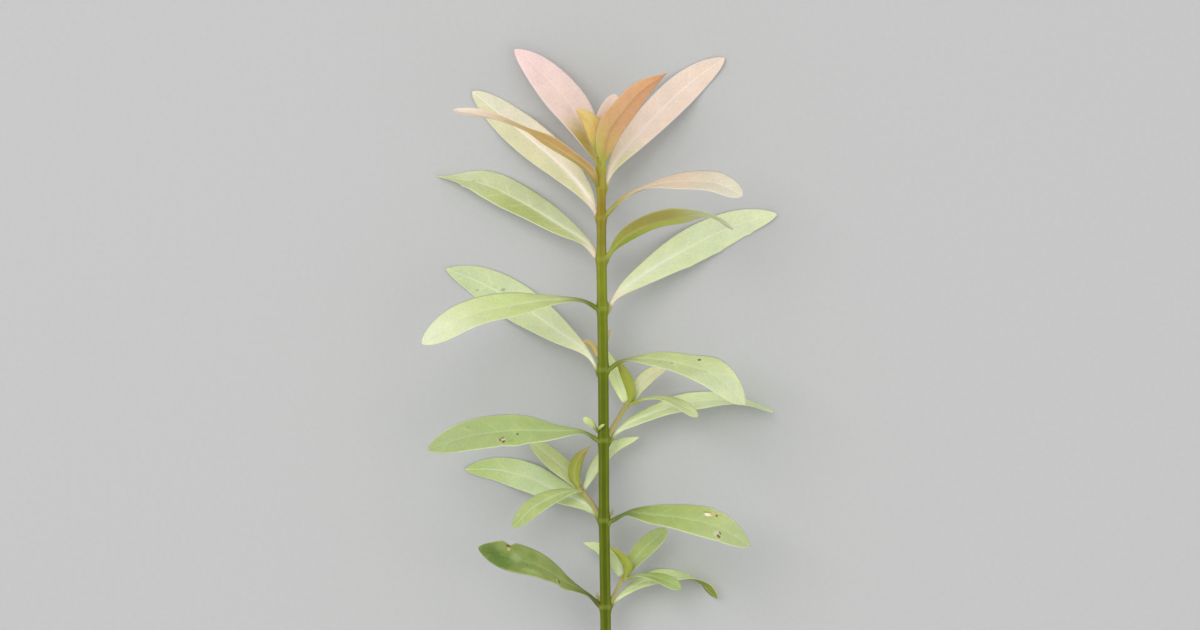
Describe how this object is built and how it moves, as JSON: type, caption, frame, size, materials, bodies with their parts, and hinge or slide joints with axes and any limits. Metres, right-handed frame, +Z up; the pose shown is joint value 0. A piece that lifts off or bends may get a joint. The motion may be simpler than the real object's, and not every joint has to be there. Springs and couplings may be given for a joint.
{
  "type": "dwarf hygrophila",
  "caption": "Cut stem of a dwarf hygrophila aquarium plant laid down, with leaves in opposite pairs, side shoots and a pink young tip.",
  "frame": {"origin": "centre of the plant's bounding box, at the height of the surface it lies on", "axes": "+Y along the stem from the cut end to the tip, +Z up from the surface it lies on, +X to the right seen from above with the tip away"},
  "size_m": [0.0779, 0.1353, 0.0341],
  "materials": {
    "stem_tissue": "satin, waxy",
    "old_leaf": "satin, waxy",
    "green_leaf": "satin, waxy",
    "pale_leaf": "satin, waxy",
    "yellow_leaf": "satin, waxy",
    "olive_leaf": "satin, waxy",
    "cream_leaf": "satin, waxy",
    "peach_leaf": "satin, waxy",
    "gold_leaf": "satin, waxy",
    "pink_leaf": "satin, waxy",
    "orange_leaf": "satin, waxy",
    "shoot_tissue": "satin, waxy"
  },
  "bodies": {
    "root": {"stem": "stem_tissue", "leaf_1_left": "old_leaf", "leaf_1_right": "green_leaf", "leaf_2_left": "green_leaf", "leaf_2_right": "green_leaf", "leaf_3_left": "green_leaf", "leaf_3_right": "green_leaf", "leaf_4_left": "green_leaf", "leaf_4_right": "green_leaf", "leaf_5_left": "pale_leaf", "leaf_5_right": "pale_leaf", "leaf_6_left": "yellow_leaf", "leaf_6_right": "olive_leaf", "leaf_7_left": "cream_leaf", "leaf_7_right": "peach_leaf", "leaf_8_left": "gold_leaf", "leaf_8_right": "peach_leaf", "leaf_9_left": "pink_leaf", "leaf_9_right": "orange_leaf", "tip_leaf_left": "gold_leaf", "tip_leaf_right": "pink_leaf", "high_shoot_leaf_1": "pale_leaf", "high_shoot_leaf_2": "olive_leaf", "high_shoot_leaf_3": "cream_leaf", "high_shoot_leaf_4": "pale_leaf", "left_shoot_leaf_1": "green_leaf", "left_shoot_leaf_2": "green_leaf", "left_shoot_leaf_3": "olive_leaf", "left_shoot_leaf_4": "green_leaf", "low_shoot_leaf_1": "pale_leaf", "low_shoot_leaf_2": "olive_leaf", "low_shoot_leaf_3": "green_leaf", "low_shoot_leaf_4": "green_leaf", "bud_leaf_3_left": "pale_leaf", "bud_leaf_3_front": "pale_leaf", "bud_leaf_4_left": "gold_leaf", "bud_leaf_4_right": "pink_leaf", "high_shoot_stem": "shoot_tissue", "left_shoot_stem": "shoot_tissue", "low_shoot_stem": "shoot_tissue", "tip_bud": "gold_leaf", "bud_1_left": "pink_leaf", "bud_2_right": "pink_leaf"}
  },
  "joints": []
}
